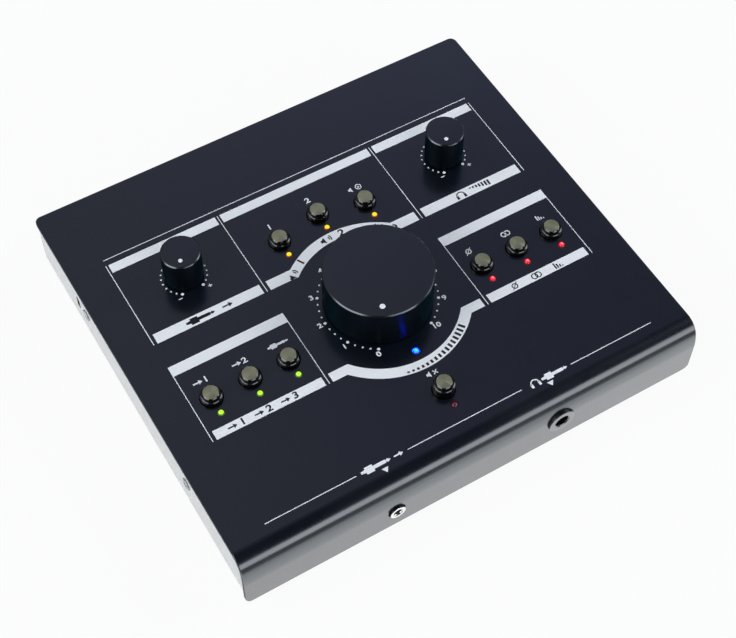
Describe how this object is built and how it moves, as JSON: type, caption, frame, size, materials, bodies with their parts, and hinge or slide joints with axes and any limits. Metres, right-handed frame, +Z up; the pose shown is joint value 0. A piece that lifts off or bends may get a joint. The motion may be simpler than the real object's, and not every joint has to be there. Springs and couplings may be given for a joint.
{
  "type": "studio monitor controller",
  "caption": "Desktop studio monitor controller: folded steel case with a large master level knob, small level knobs, latching buttons, lamps, and audio sockets front and rear.",
  "frame": {"origin": "under the middle of the whole unit, on the surface that the feet stand on", "axes": "+X to the right along the front edge, +Y towards the rear sockets, +Z up"},
  "size_m": [0.215, 0.2012, 0.0563],
  "materials": {
    "cover_paint": "satin dark navy powder coat",
    "tray_steel": "fine light silver paint on sheet steel",
    "zinc_steel": "zinc plate",
    "screw_steel": "nickel plate",
    "foot_rubber": "matt",
    "standoff_brass": "turned",
    "circuit_board": "solder mask",
    "black_moulding": "matt moulding",
    "relay_case": "matt moulding",
    "capacitor_can": "dark sleeve on a can",
    "chip_package": "matt epoxy",
    "control_case": "pressed can",
    "shaft_steel": "turned",
    "knob_black": "satin black",
    "button_black": "glossy black, spun dark face",
    "plunger_white": "matt moulding",
    "switch_case": "matt moulding",
    "lamp_amber": "clear tinted lens",
    "lamp_green": "clear tinted lens",
    "lamp_red": "clear tinted lens",
    "lamp_blue": "clear tinted lens",
    "socket_black": "satin moulding",
    "socket_nickel": "nickel plate"
  },
  "bodies": {
    "root": {"top_cover": "cover_paint", "base_tray": "tray_steel", "cover_brackets": "zinc_steel", "side_screws": "screw_steel", "rubber_feet": "foot_rubber", "panel_pillars": "zinc_steel", "board_standoffs": "standoff_brass", "board_screws": "screw_steel", "control_board": "circuit_board", "main_board": "circuit_board", "board_link": "black_moulding", "relays": "relay_case", "capacitors": "capacitor_can", "audio_chips": "chip_package", "master_control_body": "control_case", "aux_control_body": "control_case", "phones_control_body": "control_case", "control_nuts": "zinc_steel", "switch_housings": "switch_case", "amber_lamps": "lamp_amber", "green_lamps": "lamp_green", "red_lamps": "lamp_red", "blue_lamp": "lamp_blue", "lamp_spacers": "black_moulding", "phones_socket": "socket_black", "aux_socket_body": "socket_black", "aux_socket_bushing": "socket_nickel", "line_sockets": "socket_black", "line_socket_nuts": "socket_nickel", "phono_sockets": "socket_nickel", "power_inlet": "socket_black", "power_switch_housing": "black_moulding"},
    "master_knob_body": {"master_knob": "knob_black", "master_shaft": "shaft_steel"},
    "aux_knob_body": {"aux_knob": "knob_black", "aux_shaft": "shaft_steel"},
    "phones_knob_body": {"phones_knob": "knob_black", "phones_shaft": "shaft_steel"},
    "speaker_a_button_body": {"speaker_a_button": "button_black", "speaker_a_plunger": "plunger_white"},
    "speaker_b_button_body": {"speaker_b_button": "button_black", "speaker_b_plunger": "plunger_white"},
    "speaker_sub_button_body": {"speaker_sub_button": "button_black", "speaker_sub_plunger": "plunger_white"},
    "source_1_button_body": {"source_1_button": "button_black", "source_1_plunger": "plunger_white"},
    "source_2_button_body": {"source_2_button": "button_black", "source_2_plunger": "plunger_white"},
    "source_3_button_body": {"source_3_button": "button_black", "source_3_plunger": "plunger_white"},
    "phase_button_body": {"phase_button": "button_black", "phase_plunger": "plunger_white"},
    "mono_button_body": {"mono_button": "button_black", "mono_plunger": "plunger_white"},
    "dim_button_body": {"dim_button": "button_black", "dim_plunger": "plunger_white"},
    "mute_button_body": {"mute_button": "button_black", "mute_plunger": "plunger_white"},
    "power_rocker_body": {"power_rocker": "button_black"}
  },
  "joints": [
    {"name": "master_level_turn", "type": "hinge", "parent": "root", "child": "master_knob_body", "pos_m": [0, -0.01855, 0.035], "axis": [0, 0, -1], "range_deg": [0, 305]},
    {"name": "aux_level_turn", "type": "hinge", "parent": "root", "child": "aux_knob_body", "pos_m": [-0.0648, 0.03285, 0.035], "axis": [0, 0, -1], "range_deg": [0, 305]},
    {"name": "phones_level_turn", "type": "hinge", "parent": "root", "child": "phones_knob_body", "pos_m": [0.0648, 0.03285, 0.035], "axis": [0, 0, -1], "range_deg": [0, 305]},
    {"name": "speaker_a_press", "type": "slide", "parent": "root", "child": "speaker_a_button_body", "axis": [0, 0, 1], "range_m": [-0.0006, 0.0022]},
    {"name": "speaker_b_press", "type": "slide", "parent": "root", "child": "speaker_b_button_body", "axis": [0, 0, 1], "range_m": [-0.0006, 0.0022]},
    {"name": "speaker_sub_press", "type": "slide", "parent": "root", "child": "speaker_sub_button_body", "axis": [0, 0, 1], "range_m": [-0.0006, 0.0022]},
    {"name": "source_1_press", "type": "slide", "parent": "root", "child": "source_1_button_body", "axis": [0, 0, 1], "range_m": [-0.0006, 0.0022]},
    {"name": "source_2_press", "type": "slide", "parent": "root", "child": "source_2_button_body", "axis": [0, 0, 1], "range_m": [-0.0006, 0.0022]},
    {"name": "source_3_press", "type": "slide", "parent": "root", "child": "source_3_button_body", "axis": [0, 0, 1], "range_m": [-0.0006, 0.0022]},
    {"name": "phase_press", "type": "slide", "parent": "root", "child": "phase_button_body", "axis": [0, 0, 1], "range_m": [-0.0006, 0.0022]},
    {"name": "mono_press", "type": "slide", "parent": "root", "child": "mono_button_body", "axis": [0, 0, 1], "range_m": [-0.0006, 0.0022]},
    {"name": "dim_press", "type": "slide", "parent": "root", "child": "dim_button_body", "axis": [0, 0, 1], "range_m": [-0.0006, 0.0022]},
    {"name": "mute_press", "type": "slide", "parent": "root", "child": "mute_button_body", "axis": [0, 0, 1], "range_m": [-0.0028, 0]},
    {"name": "power_rock", "type": "hinge", "parent": "root", "child": "power_rocker_body", "pos_m": [-0.091, 0.09065, 0.0188], "axis": [0, 0, 1], "range_deg": [-16, 0]}
  ]
}
